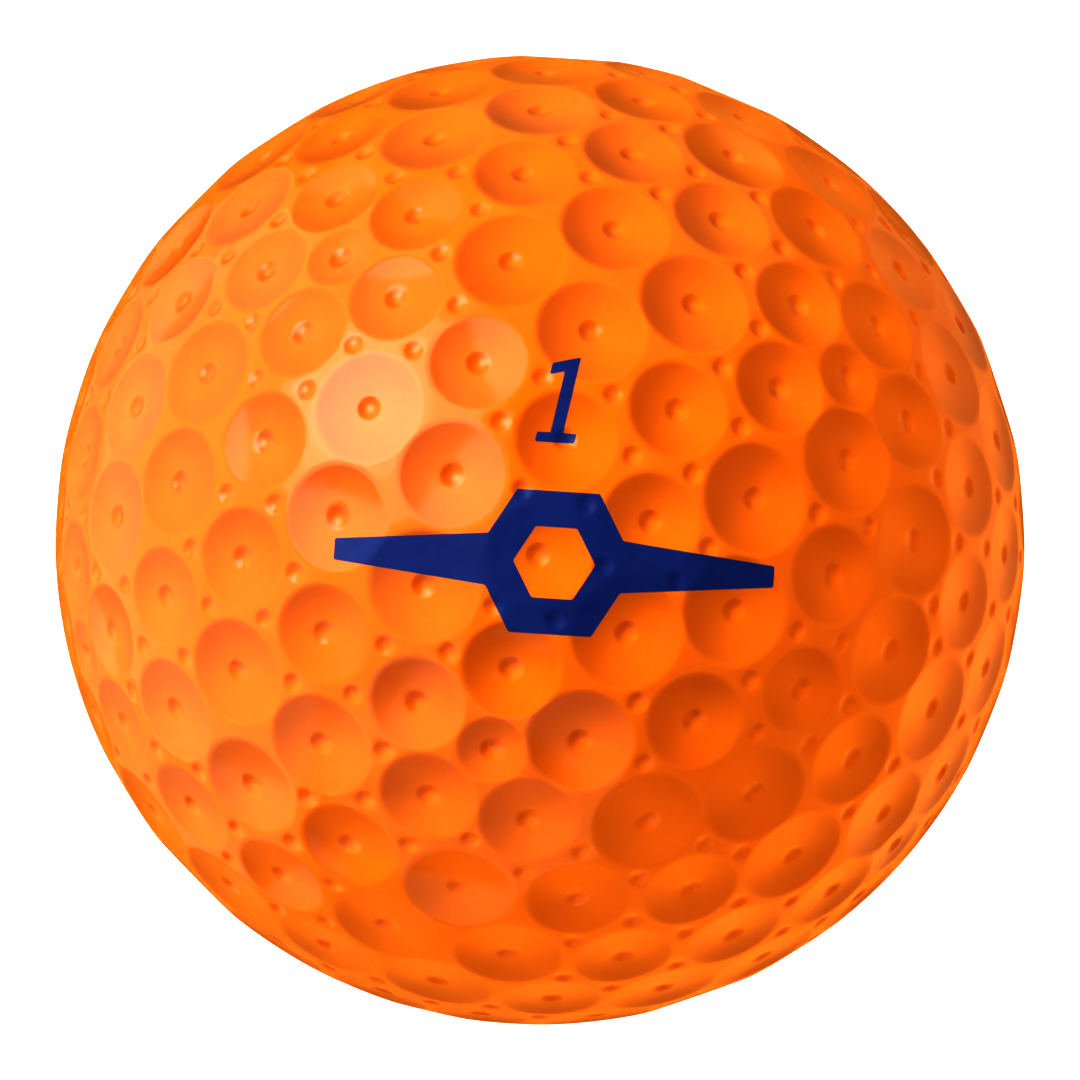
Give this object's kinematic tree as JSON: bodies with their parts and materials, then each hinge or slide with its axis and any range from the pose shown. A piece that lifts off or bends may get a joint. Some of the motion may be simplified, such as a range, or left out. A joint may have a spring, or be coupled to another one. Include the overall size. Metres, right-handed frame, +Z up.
{
  "type": "golf ball",
  "caption": "Orange golf ball with large cup dimples, each with a small pit in its middle, small pits between them, and a navy number and geometric mark on both poles.",
  "frame": {"origin": "the ball's centre", "axes": "-Y points at the front printed pole, +Y at the rear one, +Z is up through the printed number, and the half shells meet in the plane Y = 0"},
  "size_m": [0.0426, 0.0428, 0.0426],
  "materials": {
    "cover": "clear-coated gloss orange ionomer",
    "mantle": "plain moulded off-white",
    "core": "matt blue-grey rubber",
    "print": "navy ink under clear coat"
  },
  "bodies": {
    "root": {"core": "core", "mantle_front_half": "mantle", "mantle_rear_half": "mantle", "cover_front_half": "cover", "cover_rear_half": "cover", "play_number_front": "print", "play_number_rear": "print", "pole_mark_front": "print", "pole_mark_rear": "print"}
  },
  "joints": []
}
